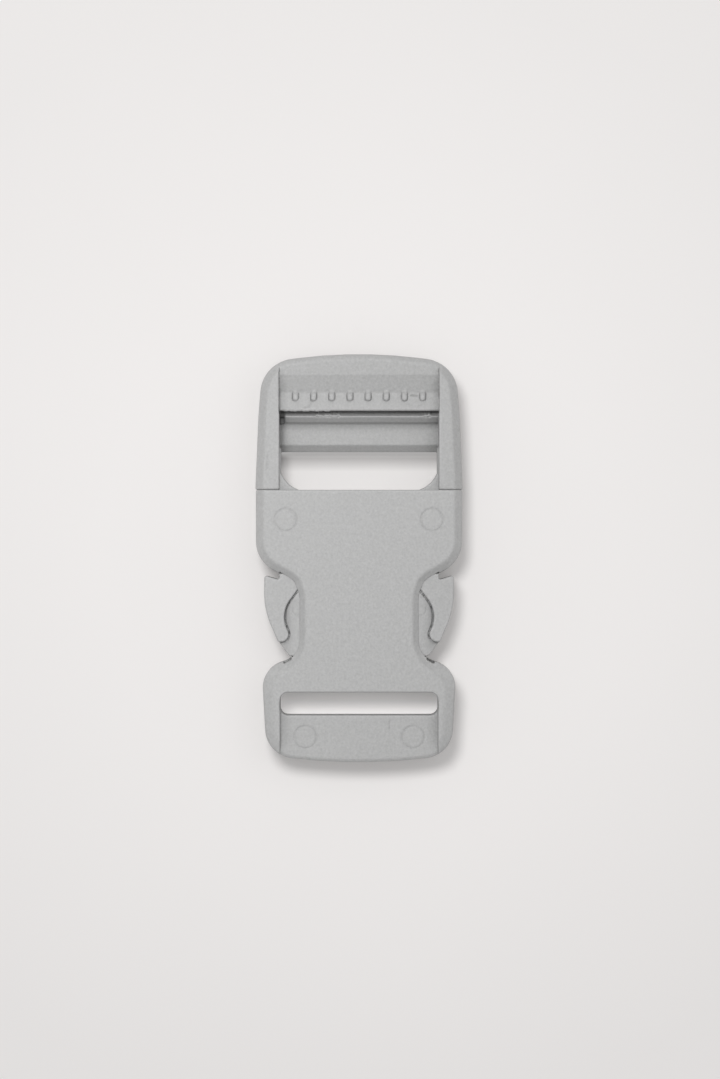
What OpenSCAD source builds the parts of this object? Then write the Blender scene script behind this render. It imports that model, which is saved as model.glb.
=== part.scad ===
// Side-release buckle for 25 mm webbing, fastened and lying on its back.
// X runs across the buckle, Y along it towards the adjuster, Z up out of its front.
// The origin is at the middle of the buckle, on the surface that it lies on.

/* [Overall] */
// Length of the fastened buckle, end to end
length = 67.3; // [66.9:0.1:67.9]
// Width across the mouth of the socket
width = 34; // [33.8:0.1:34.6]
// Thickness of the socket, back to front
thickness = 9.4; // [9.2:0.1:9.8]
// Webbing opening, side to side
web_gap = 26; // [25.6:0.1:26.4]
// Radius on the outer edges, back and front
edge_r = 1.2; // [0.8:0.1:1.3]
// Running gap between the two mouldings
gap = 0.25; // [0.15:0.05:0.3]

/* [Socket] */
// Thickness of the front and back plates
plate_t = 1.1; // [1:0.1:1.3]
// Thickness of the side walls
side_wall = 1.6; // [1.4:0.1:1.8]
// Where the mouth lies, from the middle of the buckle
mouth_y = 11.25; // [10.8:0.05:11.6]
// Width of the plates between the side windows
waist_w = 19.7; // [19:0.1:20.4]
// Half the clear way past the catches at the ends of the side walls
catch_x = 13.2; // [13.1:0.05:13.4]
// Width of the lower body
lower_w = 32; // [31.6:0.1:32.4]
// Height of the webbing slot
slot_h = 3.75; // [3.4:0.05:4]
// Radius in the corners of the webbing slot
slot_r = 1.3; // [0.8:0.1:1.6]
// Upper edge of the webbing slot
slot_y = -22.1; // [-22.3:0.05:-21.9]
// How far the web bar lies below the front and back
bar_recess = 1.4; // [1:0.1:1.8]

/* [Plug] */
// Height of the rails where they meet the socket
rail_h = 9.1; // [8.8:0.1:9.2]
// Width of the opening between the rails
rail_gap = 26.3; // [26.1:0.1:26.6]
// Lower edge of the webbing opening's upper bar
opening_top = 17.55; // [17.3:0.05:17.8]
// Width of the webbing opening
opening_w = 25.8; // [25.4:0.1:26]
// Radius of the gussets in the lower corners of the opening
gusset_r = 5.2; // [4.6:0.1:5.6]
// Depth of the rim that closes the frame's end
rim_d = 1.4; // [1.2:0.1:1.8]
// How far the frame's end is lifted off the surface
end_lift = 2.8; // [2:0.1:3.2]
// Number of grip ribs on the lever bar
rib_count = 8; // [6:1:8]
// Spacing of the grip ribs
rib_pitch = 3; // [2.6:0.1:3.2]
// Width of a grip rib
rib_w = 1; // [0.8:0.1:1.3]
// Where the centre tongue ends, from the middle of the buckle
tongue_end = -14.5; // [-16:0.5:-8]

/* [Marks] */
// Diameter of the ejector-pin marks
pin_d = 3.6; // [3:0.1:4]
// Width of the groove around a mark
pin_groove = 0.16; // [0.12:0.02:0.24]
// Depth of the groove around a mark
pin_depth = 0.1; // [0.06:0.02:0.14]

/* [Hidden] */

plastic = [0.73, 0.73, 0.73];
half_l = length / 2;
half_w = width / 2;
arc_step = 9;      // largest turn between two points of an arc, degrees
edge_steps = 3;    // facets across a rounded edge
past = 6;          // how far a skin runs on before it is cut square
bite = 0.6;        // how far one form runs into another

// Heights inside the socket
hollow_low = plate_t;
hollow_high = thickness - plate_t;
head_low = hollow_low + gap;
head_high = hollow_high - gap;

// The socket's outline: right half, from the bottom upwards, as [x, y, corner radius].
// Its end is an arc whose tangents meet just past it.
end_angle = 6.5;
end_r = 94;
end_y = -half_l - end_r * (1 / cos(end_angle) - 1);
corner_x = lower_w / 2 - 0.75;
side_y = mouth_y + past;
socket_path = [
    [0, end_y, end_r],
    [corner_x, end_y + corner_x * tan(end_angle), 5],
    [lower_w / 2 + 0.05, -18, 4.3],
    [waist_w / 2, -16.36, 3.7],
    [waist_w / 2, -4.42, 4.1],
    [half_w, -0.37, 5.5],
    [half_w, side_y, 2],
    [0, side_y, 0]
];

// The plug frame's outline, in the same form
frame_low_y = mouth_y + gap;
plug_path = [
    [0, frame_low_y - past, 0],
    [half_w + 0.35, frame_low_y - past, 2],
    [half_w - 0.4, 23.5, 40],
    [half_w - 1.1, half_l - 1.37, 5.9],
    [0, half_l + 0.63, 80]
];

// Directions and corners of a path
function unit(v) = v / norm(v);
function left_of(a) = [-sin(a), cos(a)];
function heading(p, q) = atan2(q.y - p.y, q.x - p.x);
function turn(a, b) = let (d = b - a) d > 180 ? d - 360 : d < -180 ? d + 360 : d;

// Points of the arc that rounds corner q between p and r, moved inwards by inset.
// from and to limit the arc to a part of its turn, in fractions of it.
function arc_points(p, q, r, inset, from = 0, to = 1) =
    let (
        a = heading(p, q),
        t = turn(a, heading(q, r)),
        s = sign(t),
        steps = max(2, ceil(abs(t) * (to - from) / arc_step))
    )
    abs(t) < 0.01 || q[2] == 0
        ? [[q.x, q.y] + inset * left_of(a)]
        : let (
            inward = unit(left_of(a) + left_of(a + t)) * s,
            centre = [q.x, q.y] + inward * q[2] / cos(t / 2)
        )
        [for (i = [0:steps])
            let (n = left_of(a + t * (from + (to - from) * i / steps)))
            centre - s * (q[2] - s * inset) * n];

function mirrored(p) = [-p.x, p.y, p[2]];

// Right half of a symmetric outline, from its lowest point on the axis to its highest
function half_outline(path, inset) =
    let (n = len(path))
    [for (i = [0:n - 1])
        each arc_points(
            i == 0 ? mirrored(path[1]) : path[i - 1],
            path[i],
            i == n - 1 ? mirrored(path[n - 2]) : path[i + 1],
            inset,
            i == 0 ? 0.5 : 0,
            i == n - 1 ? 0.5 : 1
        )];

// The whole outline, anticlockwise: the right half, then its mirror image downwards
function outline(path, inset = 0) =
    let (h = half_outline(path, inset), m = len(h))
    concat(h, [for (i = [m - 2:-1:1]) [-h[i].x, h[i].y]]);

// A closed path of [x, y, radius] rows as points
function closed_points(path) =
    let (n = len(path))
    [for (i = [0:n - 1])
        each arc_points(path[(i + n - 1) % n], path[i], path[(i + 1) % n], 0)];

// A slab with its edges rounded at the back and front. low and high give its faces'
// heights at a place along the buckle. Its faces are strips from side to side.
module soft_slab(path, edge, low, high) {
    m = len(half_outline(path, 0));
    count = 2 * m - 2;
    rings = concat(
        [for (i = [0:edge_steps]) let (a = 90 * i / edge_steps)
            [edge * (1 - sin(a)), 0, edge * (1 - cos(a))]],
        [for (i = [edge_steps:-1:0]) let (a = 90 * i / edge_steps)
            [edge * (1 - sin(a)), 1, -edge * (1 - cos(a))]]
    );
    points = [for (k = rings) let (o = outline(path, k[0]))
        for (p = o) [p.x, p.y, (k[1] == 0 ? low(p.y) : high(p.y)) + k[2]]];
    sides = [for (k = [0:len(rings) - 2], i = [0:count - 1])
        let (a = k * count + i, b = k * count + (i + 1) % count)
        [a, a + count, b + count, b]];
    top = (len(rings) - 1) * count;
    strips = [for (i = [0:m - 2])
        let (l0 = (count - i) % count, l1 = count - i - 1)
        i == 0 ? [0, 1, l1] : i == m - 2 ? [i, i + 1, l0] : [i, i + 1, l1, l0]];
    polyhedron(
        points,
        concat(sides, strips, [for (s = strips) [for (j = [len(s) - 1:-1:0]) top + s[j]]]),
        convexity = 6
    );
}

// A bar across the buckle whose section is a closed path of [y, z, radius] rows
module cross_bar(section, reach) {
    translate([-reach, 0, 0])
        rotate([90, 0, 90])
            linear_extrude(2 * reach) polygon(closed_points(section));
}

module layer(low, high) {
    translate([0, 0, low]) linear_extrude(high - low) children();
}

// A rectangle centred across the buckle, between two places along it
module across(w, y0, y1) {
    translate([-w / 2, y0]) square([w, y1 - y0]);
}

module both_sides() {
    children();
    mirror([1, 0, 0]) children();
}

// The shallow ring that an ejector pin leaves, as a tool that cuts down from z
module pin_ring(x, y, z, d) {
    translate([x, y, z - pin_depth]) difference() {
        cylinder(h = 2 * pin_depth, d = d, $fn = 48);
        translate([0, 0, -pin_depth]) cylinder(h = 4 * pin_depth, d = d - 2 * pin_groove, $fn = 48);
    }
}

// Socket
window_low = -16.9;
window_high = -4.45;
hollow_end = -18.6;
hollow_end_w = 18;
guide_x = 4.4;
guide_t = 1.2;
guide_top = 2;
bar_low_y = slot_y - slot_h;

// The hollow between the plates: the mouth, the way past the catches and the windows
module socket_hollow() {
    difference() {
        union() {
            intersection() {
                polygon(outline(socket_path, side_wall));
                across(2 * width, window_high, side_y);
            }
            across(2 * catch_x, window_high - 1, 0);
            across(2 * width, window_low, window_high);
            across(hollow_end_w, hollow_end, window_low + 1);
        }
        for (s = [-1, 1])
            translate([s * (guide_x + guide_t / 2), 0]) across(guide_t, hollow_end - 1, guide_top);
    }
}

module rounded_window(w, y0, y1, r) {
    polygon(closed_points([[-w / 2, y0, r], [w / 2, y0, r], [w / 2, y1, r], [-w / 2, y1, r]]));
}

// What is cut away round the web bar: the slot above it and a step behind and in front
module bar_surround() {
    difference() {
        layer(-1, thickness + 1) rounded_window(web_gap, -half_l - 2, slot_y, slot_r);
        layer(bar_recess, thickness - bar_recess) difference() {
            across(web_gap + 2, -half_l - 3, slot_y - slot_r - 0.1);
            rounded_window(web_gap, bar_low_y, slot_y, slot_r);
        }
    }
}

module socket() {
    bar_pin_x = 8.9;
    bar_pin_y = -29.5;
    plate_pin_x = 12;
    plate_pin_y = 6.3;
    color(plastic) difference() {
        soft_slab(socket_path, edge_r, function (y) 0, function (y) thickness);
        layer(-1, thickness + 1) across(2 * width, mouth_y, side_y + 1);
        layer(hollow_low, hollow_high) socket_hollow();
        bar_surround();
        both_sides() {
            pin_ring(plate_pin_x, plate_pin_y, thickness, pin_d);
            pin_ring(bar_pin_x, bar_pin_y, thickness - bar_recess, pin_d);
        }
    }
}

// Plug
base_low_y = 8.6;
base_w = width - 2 * side_wall - 2 * gap;
lip_y = 24.4;
lip_top = 7.2;
valley_y = 27.35;
valley_z = 7.05;
rib_z = lip_top + 0.45;
ledge_y = 23.4;
ledge_z = 6.2;
lower_bar_z = 3.4;
arm_low = 2.2;
arm_high = thickness - arm_low;
web_low = head_low + 0.4;
web_high = head_high - 0.4;

// Heights of the frame's back and front along the buckle
function frame_back(y) = y < 20 ? 0 : end_lift * pow((y - 20) / (half_l - 20), 2);
function frame_front(y) = y < 12 ? rail_h : rail_h - 0.4 * pow((y - 12) / (half_l - 12), 2);

// The lever bar: two bands that slope down to a valley, then the flat lip
module lever_bar() {
    intersection() {
        cross_bar([
            [half_l, 3.6, 0],
            [half_l, 8.3, 0],
            [30.2, 8.05, 0.6],
            [valley_y, valley_z, 0.2],
            [lip_y, lip_top, 0.3],
            [lip_y, 5.5, 0.8],
            [26.6, 4.5, 2],
            [31, 4.1, 2]
        ], rail_gap / 2 + bite);
        layer(0, thickness) polygon(outline(plug_path, edge_r));
    }
}

// One grip rib, which starts over the valley and ends round on the lip
module grip_rib() {
    rib_top = 27.75;
    rib_end = 25.9;
    layer(valley_z - bite, rib_z) {
        translate([0, rib_end + rib_w / 2]) circle(d = rib_w, $fn = 32);
        translate([-rib_w / 2, rib_end + rib_w / 2]) square([rib_w, rib_top - rib_end - rib_w / 2]);
    }
}

// The lower bar that the webbing doubles round. A bevelled ridge runs along its upper
// edge, and its back slopes away under the lip.
module lower_bar() {
    cross_bar([
        [opening_top, 1.3, 0.6],
        [ledge_y + 1.5, 1.3, 0.6],
        [ledge_y + 1.35, 2.6, 0.5],
        [ledge_y, ledge_z, 0.15],
        [ledge_y - 0.95, ledge_z - 0.95, 0.15],
        [ledge_y - 1.05, lower_bar_z, 0.15],
        [18.7, lower_bar_z, 0.1],
        [opening_top, lower_bar_z - 1.2, 0.25]
    ], rail_gap / 2 + bite);
}

// The base inside the mouth and the flange round the opening, with its gussets
module base_and_flange() {
    opening_low = mouth_y - 0.3;
    opening_end = opening_top + 2 * bite;
    gusset_x = opening_w / 2 + 0.45;
    layer(head_low, head_high) difference() {
        union() {
            across(base_w, base_low_y, frame_low_y + bite);
            across(rail_gap + 2 * bite, base_low_y, opening_top + bite);
        }
        intersection() {
            across(opening_w, opening_low, opening_end);
            polygon(closed_points([
                [-gusset_x, opening_low, gusset_r], [gusset_x, opening_low, gusset_r],
                [gusset_x, opening_end, 0], [-gusset_x, opening_end, 0]
            ]));
        }
    }
}

// The right spring arm: a stem from the base, then the barbed head that the thumb presses
head_path = [
    [13.35, -13.8, 0.3],
    [15.74, -8.3, 14],
    [15.6, -2.8, 0.35],
    [catch_x - gap, -3.55, 0.25],
    [catch_x - gap, -0.5, 6],
    [13.4, base_low_y + bite, 0],
    [11.4, base_low_y + bite, 0],
    [10.9, -1, 12],
    [9.2, -4, 0.5],
    [13, -9.05, 4.6],
    [10.95, -13.8, 1.25]
];

// The thinner web inside the head, which runs on to the arm's tip
web_path = [
    [10.4, -16.45, 0.4],
    [11.3, -16.4, 0.3],
    [12.15, -15.25, 3],
    [13.3, -13.6, 1.5],
    [14.4, -9, 3],
    [12.2, -4.2, 1],
    [8.9, -4.2, 1.6],
    [8.9, -14.4, 3]
];

module arm() {
    web_pin_x = 10.2;
    web_pin_y = -8.6;
    layer(arm_low, arm_high) polygon(closed_points(head_path));
    layer(head_low, head_high) intersection() {
        polygon(closed_points(head_path));
        translate([0, -20]) square([20, 17.5]);
    }
    difference() {
        layer(web_low, web_high) polygon(closed_points(web_path));
        pin_ring(web_pin_x, web_pin_y, web_high, 2);
    }
}

module tongue() {
    layer(arm_low, arm_high) polygon(closed_points([
        [-guide_x + gap, base_low_y + bite, 0],
        [-guide_x + gap, tongue_end, 2.5],
        [guide_x - gap, tongue_end, 2.5],
        [guide_x - gap, base_low_y + bite, 0]
    ]));
}

module plug() {
    color(plastic) union() {
        difference() {
            soft_slab(plug_path, edge_r, function (y) frame_back(y), function (y) frame_front(y));
            layer(-1, thickness + 1) across(2 * width, frame_low_y - past - 1, frame_low_y);
            layer(-1, thickness + 1) intersection() {
                polygon(outline(plug_path, rim_d));
                across(rail_gap, frame_low_y - 1, half_l);
            }
        }
        lever_bar();
        for (i = [0:rib_count - 1])
            translate([(i - (rib_count - 1) / 2) * rib_pitch, 0, 0]) grip_rib();
        lower_bar();
        base_and_flange();
        both_sides() arm();
        tongue();
    }
}

plug();
socket();
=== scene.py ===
"""Looks of a fastened side-release buckle for 25 mm webbing, lying on its back.

Sizes here are in millimetres and become metres where a mesh is written. X runs across
the buckle, Y along it towards the adjuster, and Z up out of its front.

Each moulding is one piece whose bars, rails and walls run into each other through small
fillets, which no two-parameter sheet gives. It is therefore worked out as a distance
field: a function of place that is negative inside the plastic, made of plan outlines and
cross-sections, and skinned where it is zero. Its fine marks are grooves in that field.
"""
import sys
import logging
import math
from dataclasses import dataclass, field
from enum import Enum
from typing import Any, Callable

import bpy
import numpy as np
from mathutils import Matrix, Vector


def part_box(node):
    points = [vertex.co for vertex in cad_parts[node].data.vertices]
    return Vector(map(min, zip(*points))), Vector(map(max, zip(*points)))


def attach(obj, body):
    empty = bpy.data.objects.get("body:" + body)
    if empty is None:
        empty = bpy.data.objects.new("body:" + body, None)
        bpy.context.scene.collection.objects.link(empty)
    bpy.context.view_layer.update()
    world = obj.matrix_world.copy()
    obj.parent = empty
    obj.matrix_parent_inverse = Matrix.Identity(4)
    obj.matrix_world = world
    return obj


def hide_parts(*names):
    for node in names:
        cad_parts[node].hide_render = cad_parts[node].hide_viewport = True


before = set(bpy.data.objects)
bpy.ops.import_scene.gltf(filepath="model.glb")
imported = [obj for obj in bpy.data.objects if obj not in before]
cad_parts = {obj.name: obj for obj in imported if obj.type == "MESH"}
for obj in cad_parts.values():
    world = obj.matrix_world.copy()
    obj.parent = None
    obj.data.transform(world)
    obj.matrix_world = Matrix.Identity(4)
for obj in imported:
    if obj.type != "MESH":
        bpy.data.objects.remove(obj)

Array = np.ndarray
Point = tuple[float, float, float]
Field = Callable[[Array, Array, Array], Array]
MM = 0.001
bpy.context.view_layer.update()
BODY = "root"
# Radii of broken edges: at the sides, round the mouth, and at the finest features
SIDE_BREAK = 0.12
MOUTH_BREAK = 0.26
FINE_BREAK = 0.05
# Width and depth of the fine lines
LINE_W = 0.14
LINE_D = 0.08
log = logging.getLogger("buckle")


def corner_sizes(node: str) -> tuple[Array, Array]:
    """Lowest and highest corner of a node of the frame.

    Args:
        node: The node's name.

    Returns:
        The two corners in millimetres.
    """
    low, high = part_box(node)
    return np.array(low) / MM, np.array(high) / MM


def meet(a: Array, b: Array, radius: Array | float = 0.0) -> Array:
    """Field of what two forms share, with the edge between them rounded.

    Inside, it is the larger of the two distances. Within radius of the edge it is the
    distance to an arc of that radius: hypot(a + r, b + r) - r.

    Args:
        a: Field of one form.
        b: Field of the other.
        radius: Radius of the rounded edge.

    Returns:
        The shared form's field.
    """
    arc = np.hypot(np.maximum(a + radius, 0.0), np.maximum(b + radius, 0.0))
    return np.minimum(np.maximum(a, b), -radius) + arc


def join(a: Array, b: Array, radius: Array | float = 0.0) -> Array:
    """Field of two forms together, with a fillet of that radius where they run together."""
    return -meet(-a, -b, radius)


def cut(a: Array, tool: Array, radius: Array | float = 0.0) -> Array:
    """Field of form a with the tool taken away, its new edges rounded to that radius."""
    return meet(a, -tool, radius)


def between(value: Array, low: Array | float, high: Array | float) -> Array:
    """Field of the layer where a coordinate lies between two values."""
    return np.maximum(low - value, value - high)


def bevel_plane(plan: Array, slab: Array, width: Array | float, slope: Array | float) -> Array:
    """Field of a plane that falls at that slope from width inside an outline, on both faces."""
    turn = np.radians(slope)
    return (plan + width) * np.sin(turn) + slab * np.cos(turn)


def bevelled(
    plan: Array, slab: Array, width: Array | float, slope: Array | float, blend: float,
    side_break: Array | float = SIDE_BREAK,
) -> Array:
    """Field of a slab of an outline whose front and back edges are bevelled.

    The bevel is a plane that leaves the flat face at width inside the outline and falls at
    that slope: (plan + width) sin(slope) + slab cos(slope). It blends into the flat face.

    Args:
        plan: Field of the outline.
        slab: Field of the layer between the two faces.
        width: How far inside the outline the bevel starts.
        slope: The bevel's slope in degrees.
        blend: Radius-like size of the blend between bevel and face.
        side_break: Radius between the bevel and the side.

    Returns:
        The slab's field.
    """
    return meet(meet(slab, bevel_plane(plan, slab, width, slope), blend), plan, side_break)


def rounded_window(x: Array, y: Array, half_w: float, y0: float, y1: float, radius: float) -> Array:
    """Field of a rectangle centred across the buckle, with rounded corners.

    Args:
        x: Places across.
        y: Places along.
        half_w: Half its width.
        y0: Its lower edge.
        y1: Its upper edge.
        radius: Radius of its corners.

    Returns:
        Distance to its edge, negative inside.
    """
    qx = np.abs(x) - half_w + radius
    qy = np.abs(y - (y0 + y1) / 2) - (y1 - y0) / 2 + radius
    outside = np.hypot(np.maximum(qx, 0.0), np.maximum(qy, 0.0))
    return outside + np.minimum(np.maximum(qx, qy), 0.0) - radius


def ease(value: Array) -> Array:
    """A smooth step from 0 to 1 as value goes from 0 to 1: 3 v^2 - 2 v^3."""
    v = np.clip(value, 0.0, 1.0)
    return v * v * (3.0 - 2.0 * v)


@dataclass(frozen=True)
class Outline:
    """A closed outline given by its corners, each rounded by an arc.

    Attributes:
        corners: Rows of first coordinate, second coordinate and radius, anticlockwise.
        half: True where the rows run up the right-hand side only, from axis to axis.
        arc_step: Largest turn between two points of an arc, in degrees.
    """

    corners: tuple[Point, ...]
    half: bool = False
    arc_step: float = 3.0

    def _arc(self, before: Array, corner: Array, after: Array, radius: float) -> Array:
        """Points of the arc that rounds one corner, or the corner itself.

        The arc's centre lies on the corner's bisector, radius / cos(turn / 2) away, and its
        points are radius away from it along the normals between the two edges.

        Args:
            before: The corner before.
            corner: The corner.
            after: The corner after.
            radius: Its radius.

        Returns:
            The points, one row each.
        """
        a = math.atan2(*(corner - before)[::-1])
        b = math.atan2(*(after - corner)[::-1])
        turn = (b - a + math.pi) % (2 * math.pi) - math.pi
        if radius == 0 or abs(turn) < 1e-4:
            return corner[None, :]
        side = math.copysign(1.0, turn)
        count = max(2, math.ceil(math.degrees(abs(turn)) / self.arc_step))
        normals = a + turn * np.linspace(0.0, 1.0, count + 1)
        left = np.stack([-np.sin(normals), np.cos(normals)], axis=1)
        bisector = left[0] + left[-1]
        centre = corner + side * bisector / np.linalg.norm(bisector) * radius / math.cos(turn / 2)
        return centre - side * radius * left

    def points(self) -> Array:
        """The outline's points, one row each, with every corner's arc worked out."""
        rows = np.array(self.corners)
        places, radii = rows[:, :2], rows[:, 2]
        mirror = np.array([-1.0, 1.0])
        first = places[1] * mirror if self.half else places[-1]
        last = places[-2] * mirror if self.half else places[0]
        ring = np.vstack([first, places, last])
        arcs = [self._arc(*ring[i:i + 3], radii[i]) for i in range(len(radii))]
        found = np.vstack(arcs)
        if self.half:
            found = found[found[:, 0] > -1e-9]
            ends = np.array([[0.0, found[0, 1]], [0.0, found[-1, 1]]])
            return np.vstack([ends[0], found, ends[1]])
        return np.vstack([found, found[:1]])

    def distance(self, u: Array, v: Array) -> Array:
        """Distance to the outline, negative inside.

        Each edge gives its nearest point by a projection held between its ends. A place is
        inside if a line from it towards +u crosses an odd number of edges.

        Args:
            u: First coordinates.
            v: Second coordinates, of a shape that goes with u's.

        Returns:
            The distances.
        """
        u = np.abs(u) if self.half else u
        shape = np.broadcast_shapes(np.shape(u), np.shape(v))
        nearest = np.full(shape, np.inf)
        inside = np.zeros(shape, bool)
        points = self.points()
        for (a0, a1), (b0, b1) in zip(points[:-1], points[1:]):
            e0, e1 = b0 - a0, b1 - a1
            size = e0 * e0 + e1 * e1
            if size == 0:
                continue
            t = np.clip(((u - a0) * e0 + (v - a1) * e1) / size, 0.0, 1.0)
            nearest = np.minimum(nearest, (u - a0 - t * e0) ** 2 + (v - a1 - t * e1) ** 2)
            if e1 != 0:
                inside ^= ((a1 > v) != (b1 > v)) & (u < a0 + (v - a1) * e0 / e1)
        return np.where(inside, -1.0, 1.0) * np.sqrt(nearest)


class Mark(Enum):
    """What is noted at each point of a skin for its colour, from 0 to 1: worn edges, and hollows, corners
    and fine lines, where shade is painted darker.
    """

    EDGE = "edge"
    CORNER = "corner"
    HOLLOW = "hollow"
    LINE = "line"


@dataclass(frozen=True)
class Ring:
    """A fine round line, such as an ejector pin leaves, or an arc of one.

    Attributes:
        x: Its centre across the buckle.
        y: Its centre along the buckle.
        radius: Its radius.
        middle: The direction of the arc's middle, in degrees from +X.
        spread: How far the arc reaches to each side of its middle, in degrees.
        weight: How deep it is, against the deepest lines.
    """

    x: float
    y: float
    radius: float
    middle: float = 0.0
    spread: float = 180.0
    weight: float = 1.0

    def distance(self, x: Array, y: Array) -> Array:
        """Distance to the line, which grows past the arc's ends.

        Args:
            x: Places across.
            y: Places along.

        Returns:
            The distances.
        """
        dx, dy = x - self.x, y - self.y
        turn = np.degrees(np.arctan2(dy, dx)) - self.middle
        past_end = np.maximum(np.abs((turn + 180.0) % 360.0 - 180.0) - self.spread, 0.0)
        return np.abs(np.hypot(dx, dy) - self.radius) + self.radius * np.radians(past_end)


@dataclass(frozen=True)
class Stroke:
    """A fine straight line between two places.

    Attributes:
        start: Its first end, across and along the buckle.
        end: Its other end.
        weight: How deep it is, against the deepest lines.
    """

    start: tuple[float, float]
    end: tuple[float, float]
    weight: float = 1.0

    def distance(self, x: Array, y: Array) -> Array:
        """Distance to the nearest place between its ends.

        Args:
            x: Places across.
            y: Places along.

        Returns:
            The distances.
        """
        (x0, y0), (x1, y1) = self.start, self.end
        dx, dy = x1 - x0, y1 - y0
        t = np.clip(((x - x0) * dx + (y - y0) * dy) / (dx * dx + dy * dy), 0.0, 1.0)
        return np.hypot(x - x0 - t * dx, y - y0 - t * dy)


def scored(lines: tuple[Ring | Stroke, ...], x: Array, y: Array, width: float) -> Array:
    """How deep the fine lines are at a place: weight times exp(-(distance / width)^2).

    Args:
        lines: The lines.
        x: Places across.
        y: Places along.
        width: Half the width at which a line is a third as deep as in its middle.

    Returns:
        The depth.
    """
    depths = [line.weight * np.exp(-(line.distance(x, y) / width) ** 2) for line in lines]
    return np.maximum.reduce(depths)


def lumps(x: Array, low: float, high: float) -> Array:
    """How far moulding flash stands out between two places, from 0 to 1.

    It follows a product of two waves, and rises from nothing at both ends.

    Args:
        x: Places across.
        low: Where the flash starts.
        high: Where it ends.

    Returns:
        Its height at each place.
    """
    fast, slow, run_in = 6.1, 2.7, 0.4
    waves = 0.55 + 0.45 * np.sin(fast * x) * np.cos(slow * x)
    return waves * ease((x - low) / run_in) * ease((high - x) / run_in)


def ruler(*stops: tuple[float, float]) -> Array:
    """Grid lines along one axis, finer where detail is.

    Args:
        stops: Rows of where a stretch starts and its largest step. The last row's step
            is not used: it only ends the last stretch.

    Returns:
        The lines' places, rising.
    """
    lines = []
    for (start, step), (end, _) in zip(stops[:-1], stops[1:]):
        count = math.ceil((end - start) / step)
        lines.append(np.linspace(start, end, count, endpoint=False))
    return np.concatenate([*lines, [stops[-1][0]]])


@dataclass
class Grid:
    """The lines that a field is sampled on, along each axis, in millimetres."""

    x: Array
    y: Array
    z: Array

    def axes(self) -> tuple[Array, Array, Array]:
        """The three axes, shaped so that they broadcast to the whole grid."""
        return self.x[:, None, None], self.y[None, :, None], self.z[None, None, :]


@dataclass
class Skin:
    """A closed surface: points, faces of four points each, and a normal at each point."""

    points: Array
    quads: Array
    normals: Array
    marks: dict[Mark, Array] = field(default_factory=dict)


def slope_of(form: Field, points: Array) -> Array:
    """Directions in which a field rises, by differences of places a step apart.

    Args:
        form: The field.
        points: Where to look.

    Returns:
        One unit direction for each point.
    """
    step = 0.08
    rises = [form(*(points + step * axis).T) - form(*(points - step * axis).T) for axis in np.eye(3)]
    slope = np.stack(rises, axis=1)
    return slope / np.maximum(np.linalg.norm(slope, axis=1, keepdims=True), 1e-9)


def skin_of(form: Field, grid: Grid) -> Skin:
    """The surface on which a field is zero, by surface nets on whole arrays.

    A cell whose corners are on both sides holds one point, the mean of the places where
    its edges cross the surface. Each grid edge that crosses it gives a face of the four
    cells round it. The points are then moved along the field's slope onto the surface.

    Args:
        form: The field, as a function of x, y and z.
        grid: Where to sample it.

    Returns:
        The surface, with its faces pointing outwards.
    """
    lines = (grid.x, grid.y, grid.z)
    value = np.broadcast_to(form(*grid.axes()), [len(line) for line in lines])
    inside = value < 0
    shifts = [(i, j, k) for i in (0, 1) for j in (0, 1) for k in (0, 1)]

    def shifted(array: Array, shift: tuple[int, int, int]) -> Array:
        """The array's corner values at that shift, one for each cell."""
        return array[tuple(slice(s, array.shape[a] - 1 + s) for a, s in enumerate(shift))]

    count = sum(shifted(inside, s).astype(np.int8) for s in shifts)
    active = (count > 0) & (count < len(shifts))
    index = np.full(active.shape, -1, np.int64)
    index[active] = np.arange(active.sum())
    cells = np.argwhere(active)
    base = np.stack([lines[a][cells[:, a]] for a in range(3)], axis=1)
    size = np.stack([np.diff(lines[a])[cells[:, a]] for a in range(3)], axis=1)
    at = {s: value[tuple((cells + s).T)] for s in shifts}

    total = np.zeros_like(base)
    hits = np.zeros(len(base))
    slope = np.zeros_like(base)
    for axis in range(3):
        for s in shifts:
            if s[axis]:
                continue
            e = tuple(1 if a == axis else v for a, v in enumerate(s))
            f0, f1 = at[s], at[e]
            slope[:, axis] += (f1 - f0) / size[:, axis] / 4
            crossed = (f0 < 0) != (f1 < 0)
            t = np.where(crossed, f0 / np.where(crossed, f0 - f1, 1.0), 0.0)
            place = np.array(s) + t[:, None] * np.eye(3)[axis]
            total += np.where(crossed[:, None], base + place * size, 0.0)
            hits += crossed
    points = total / hits[:, None]

    quads = []
    for axis in range(3):
        p, q = [a for a in range(3) if a != axis]
        along = [slice(None)] * 3
        along[p] = along[q] = slice(1, -1)
        lower, upper = list(along), list(along)
        lower[axis], upper[axis] = slice(0, -1), slice(1, None)
        start, end = inside[tuple(lower)], inside[tuple(upper)]
        for here, flip in ((start & ~end, axis == 1), (~start & end, axis != 1)):
            corner = np.argwhere(here)
            around = []
            for dp, dq in ((0, 0), (1, 0), (1, 1), (0, 1)):
                cell = corner.copy()
                cell[:, p] += dp
                cell[:, q] += dq
                around.append(index[tuple(cell.T)])
            face = np.stack(around, axis=1)
            quads.append(face[:, ::-1] if flip else face)
    faces = np.concatenate(quads)

    length = np.linalg.norm(slope, axis=1, keepdims=True)
    normals = slope / np.maximum(length, 1e-9)
    off = form(*points.T)
    reach = size.min(axis=1) / 2
    points = points - normals * np.clip(off, -reach, reach)[:, None]
    return Skin(points, faces, slope_of(form, points))


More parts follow.
